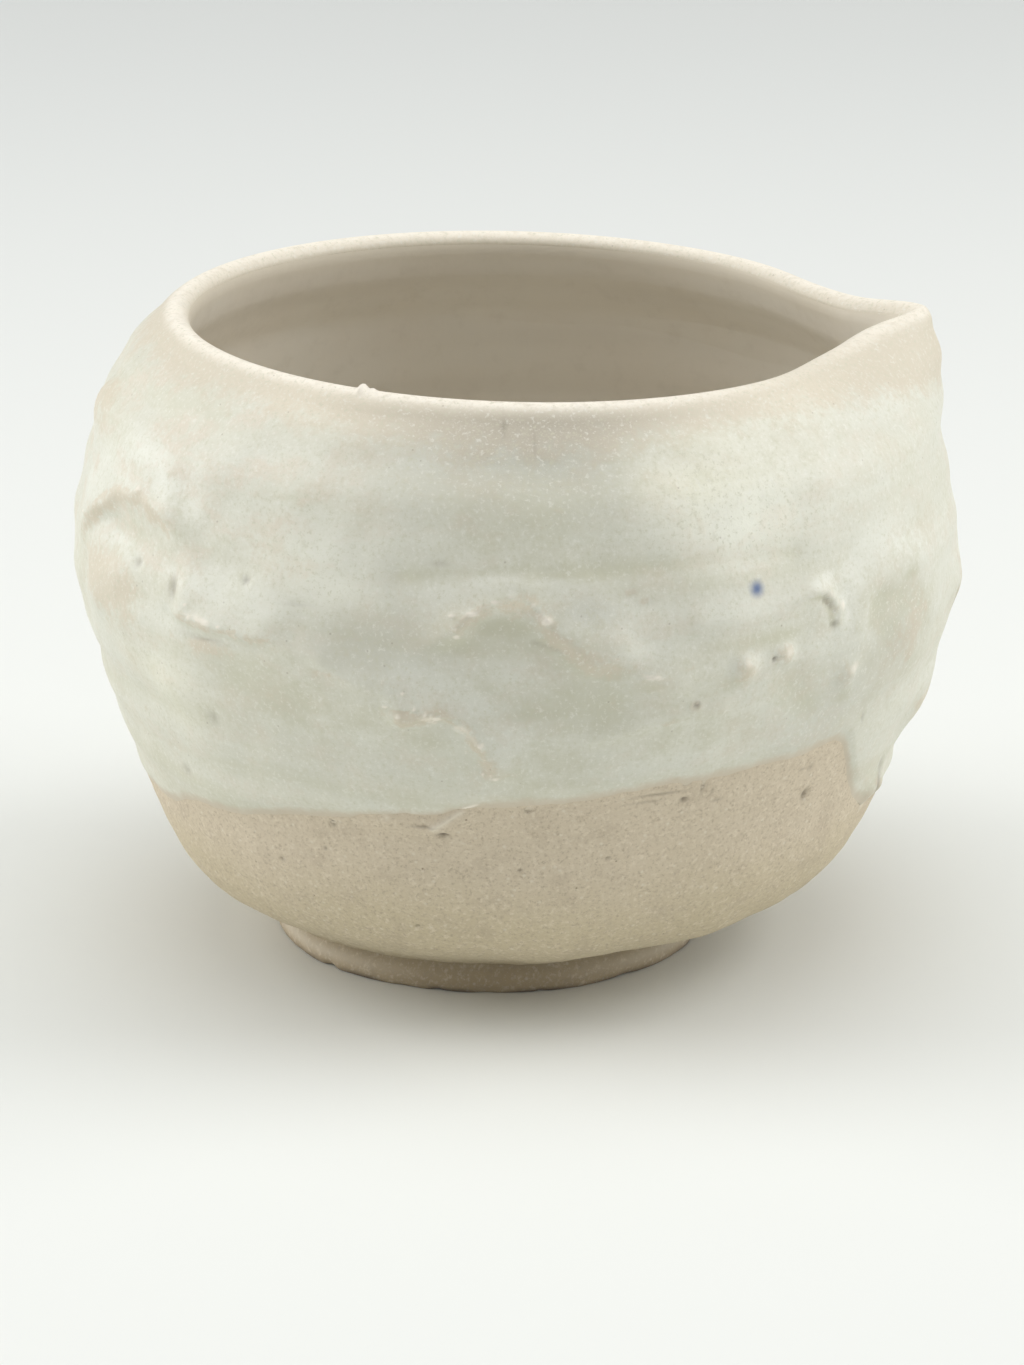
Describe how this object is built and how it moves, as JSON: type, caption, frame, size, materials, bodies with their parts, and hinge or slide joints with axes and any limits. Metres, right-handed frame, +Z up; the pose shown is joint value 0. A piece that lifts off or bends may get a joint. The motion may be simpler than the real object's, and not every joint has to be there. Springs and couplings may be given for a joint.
{
  "type": "lipped stoneware cup",
  "caption": "Hand-thrown stoneware cup with a pulled pouring lip, a low foot ring, pressed-on clay relief and a dipped white glaze that stops above bare clay.",
  "frame": {"origin": "on the axis of the thrown body, at the table plane under the foot ring", "axes": "+Z up out of the mouth, +X along the pouring lip"},
  "size_m": [0.0917, 0.092, 0.0668],
  "materials": {
    "clay": "sandy bare stoneware",
    "foot_clay": "sandy bare stoneware, darker",
    "relief_clay": "stoneware pressed on by hand",
    "outer_glaze": "satin white glaze",
    "inner_glaze": "satin off-white liner glaze"
  },
  "bodies": {
    "root": {"back_arch_coil": "relief_clay", "back_loop_coil": "relief_clay", "back_pad": "relief_clay", "back_slope_coil": "relief_clay", "centre_arch_coil": "relief_clay", "centre_loop_coil": "relief_clay", "flake_pad": "relief_clay", "foot_ring": "foot_clay", "inner_glaze": "inner_glaze", "left_arch_coil": "relief_clay", "left_pad": "relief_clay", "left_shelf_coil": "relief_clay", "left_shoulder_pad": "relief_clay", "lip_side_pad": "relief_clay", "low_fold_coil": "relief_clay", "low_right_pad": "relief_clay", "outer_glaze": "outer_glaze", "pellet_1": "relief_clay", "pellet_2": "relief_clay", "pellet_3": "relief_clay", "pellet_4": "relief_clay", "pellet_5": "relief_clay", "pellet_6": "relief_clay", "right_curl_coil": "relief_clay", "right_lobe_coil": "relief_clay", "right_lobe_pad": "relief_clay", "thrown_body": "clay"}
  },
  "joints": []
}
